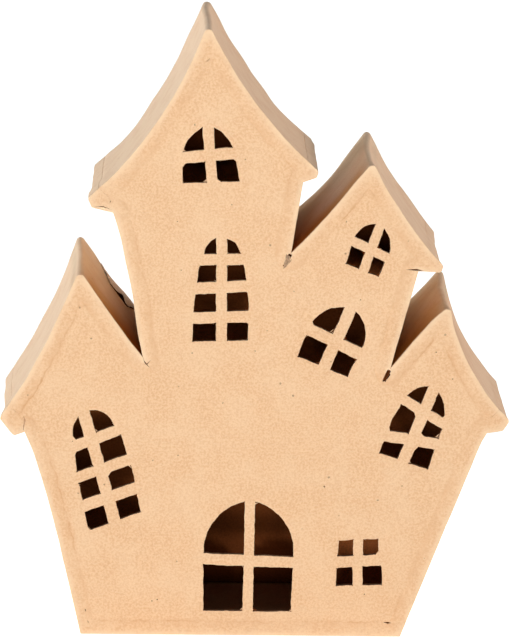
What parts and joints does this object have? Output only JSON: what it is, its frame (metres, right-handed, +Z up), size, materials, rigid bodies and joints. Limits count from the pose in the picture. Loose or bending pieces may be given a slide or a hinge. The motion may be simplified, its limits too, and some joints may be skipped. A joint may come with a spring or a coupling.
{
  "type": "cardboard castle",
  "caption": "Crooked hollow castle of folded cardboard covered in kraft paper, with four pointed roofs, leaning walls and arched windows cut through the front, for craft decorating.",
  "frame": {"origin": "middle of the outline's width and of the depth, on the surface that the castle stands on", "axes": "+Z up, +X to the right and +Y from the front panel to the back panel, as the front is seen"},
  "size_m": [0.2121, 0.07, 0.26],
  "materials": {
    "board": "matte",
    "kraft_paper": "matte"
  },
  "bodies": {
    "root": {"front_panel": "board", "back_panel": "board", "floor_panel": "board", "left_gable_strip": "board", "tall_tower_strip": "board", "middle_tower_strip": "board", "right_gable_strip": "board", "floor_paper": "kraft_paper", "left_wall_paper": "kraft_paper", "left_roof_paper": "kraft_paper", "tall_left_wall_paper": "kraft_paper", "tall_roof_paper": "kraft_paper", "tall_right_wall_paper": "kraft_paper", "middle_roof_paper": "kraft_paper", "middle_wall_paper": "kraft_paper", "right_roof_paper": "kraft_paper", "right_wall_paper": "kraft_paper"}
  },
  "joints": []
}
